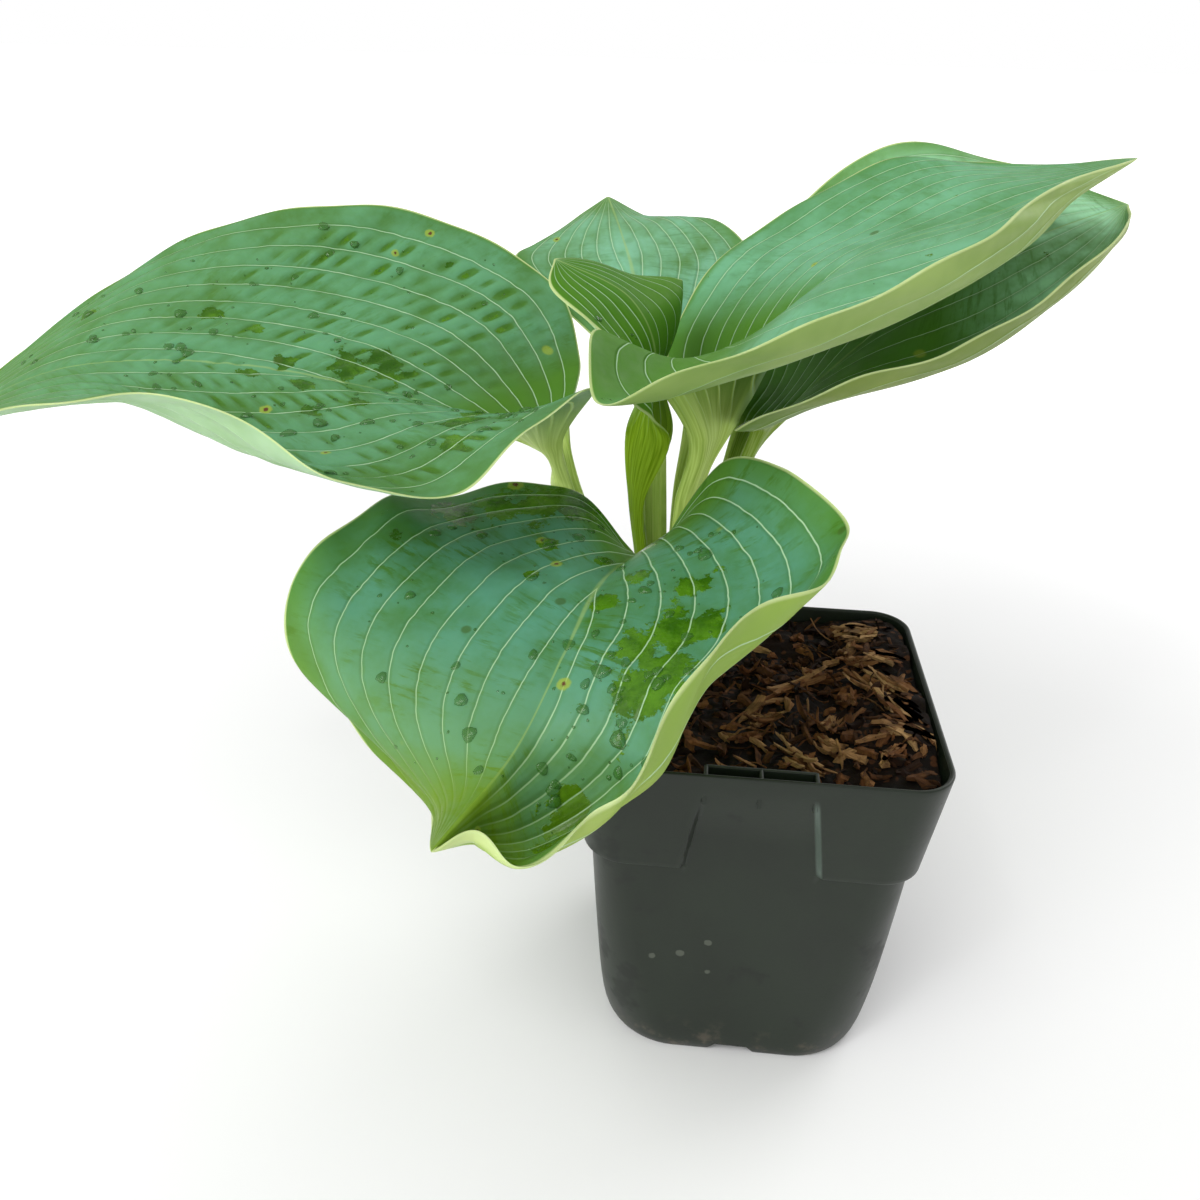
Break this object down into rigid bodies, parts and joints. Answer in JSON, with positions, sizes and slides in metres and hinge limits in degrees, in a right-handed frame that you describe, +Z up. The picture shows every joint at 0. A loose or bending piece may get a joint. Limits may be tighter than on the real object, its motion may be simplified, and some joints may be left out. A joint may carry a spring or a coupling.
{
  "type": "potted hosta plant",
  "caption": "Leafy shade plant with broad, cupped, ribbed leaves on channelled stalks, rooted in a square nursery pot of potting mix topped with bark mulch",
  "frame": {"origin": "centre of the pot's underside, on the surface that it stands on", "axes": "+Z up; -Y is the pot's front, with the label recess and the leaf that hangs over the rim; +X to the right as seen from the front"},
  "size_m": [0.3544, 0.2552, 0.2876],
  "materials": {
    "pot": "dark green-grey thin moulded plastic, satin",
    "soil": "near-black moist potting mix, matte",
    "bark": "orange-brown shredded bark, matte",
    "crown": "pale fleshy crown and roots, matte",
    "leaf": "blue-green waxy leaf with pale veins, satin",
    "young_leaf": "fresh green young leaf, satin"
  },
  "bodies": {
    "root": {"pot": "pot", "potting_soil": "soil", "bark_mulch": "bark", "crown": "crown", "leaf_left": "leaf", "leaf_front": "leaf", "leaf_right": "leaf", "leaf_right_back": "leaf", "leaf_back": "leaf", "leaf_young": "young_leaf"}
  },
  "joints": []
}
